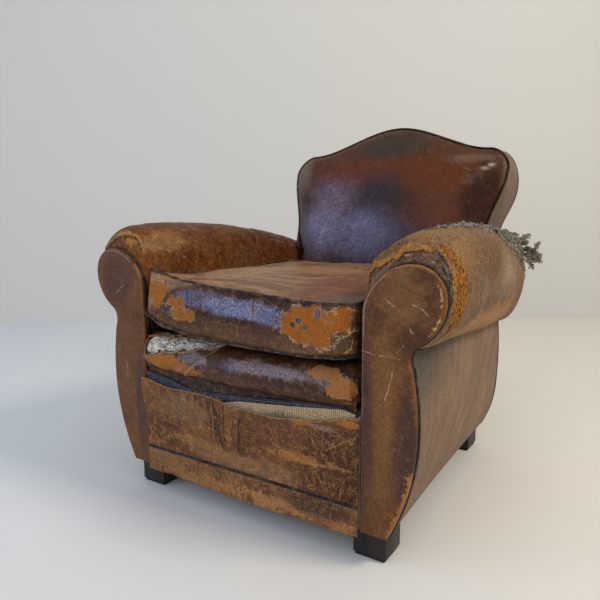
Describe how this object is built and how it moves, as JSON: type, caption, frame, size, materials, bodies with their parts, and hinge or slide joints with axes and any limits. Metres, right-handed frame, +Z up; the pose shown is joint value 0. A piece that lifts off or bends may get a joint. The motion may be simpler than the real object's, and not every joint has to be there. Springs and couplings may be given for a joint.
{
  "type": "club chair",
  "caption": "Worn brown leather club chair with rolled arms, a moustache-shaped back, a loose boxed seat cushion and block feet.",
  "frame": {"origin": "on the floor, under the middle of the chair's overall box", "axes": "+Z up, the front of the seat faces -Y, +X towards the arm on the right of someone looking at the front"},
  "size_m": [0.8546, 0.9145, 0.8624],
  "materials": {
    "leather_brown": "aged brown leather, scuffed and cracked through to orange suede in places",
    "leather_outside": "dry grey-brown leather with long pale streaks",
    "leather_dark": "polished dark red-brown leather with a cool sheen",
    "piping_black": "black welted cord, slightly shiny",
    "beech": "sawn beech, unfinished",
    "foot_stain": "black-brown stained wood, worn edges",
    "foot_pad": "dark glide pad",
    "jute": "coarse woven jute",
    "spring_steel": "dull drawn wire",
    "wadding": "matted grey-white cotton felt",
    "horsehair": "curled hair stuffing",
    "cambric": "black woven cloth"
  },
  "bodies": {
    "root": {"arm_pad_left": "leather_brown", "arm_pad_right": "leather_brown", "arm_rail_left": "beech", "arm_rail_right": "beech", "arm_tuft": "wadding", "back_band": "leather_outside", "back_lower_rail": "beech", "back_pad": "leather_dark", "back_piping_front": "piping_black", "back_post_left": "beech", "back_post_right": "beech", "border_band": "cambric", "border_hessian": "jute", "border_panel": "leather_brown", "border_piping": "piping_black", "border_strip": "leather_brown", "crest_board": "beech", "cushion_piping_bottom": "piping_black", "cushion_piping_top": "piping_black", "deck_cover": "cambric", "dust_cover": "cambric", "facing_board_left": "beech", "facing_board_right": "beech", "facing_cover_left": "leather_brown", "facing_cover_right": "leather_brown", "facing_piping_left": "piping_black", "facing_piping_right": "piping_black", "foot_front_left": "foot_stain", "foot_front_right": "foot_stain", "foot_pad_front_left": "foot_pad", "foot_pad_front_right": "foot_pad", "foot_pad_rear_left": "foot_pad", "foot_pad_rear_right": "foot_pad", "foot_rear_left": "foot_stain", "foot_rear_right": "foot_stain", "front_rail": "beech", "lip_cover": "leather_dark", "lip_wadding": "wadding", "outside_arm_left": "leather_outside", "outside_arm_right": "leather_outside", "outside_back": "leather_outside", "rear_arm_board_left": "beech", "rear_arm_board_right": "beech", "rear_piping": "piping_black", "rear_rail": "beech", "seat_cushion": "leather_brown", "seat_stuffing": "horsehair", "seat_webbing": "jute", "side_rail_left": "beech", "side_rail_right": "beech", "spring_1": "spring_steel", "spring_2": "spring_steel", "spring_3": "spring_steel", "spring_4": "spring_steel", "spring_5": "spring_steel", "spring_6": "spring_steel", "spring_7": "spring_steel", "spring_8": "spring_steel", "spring_hessian": "jute"}
  },
  "joints": []
}
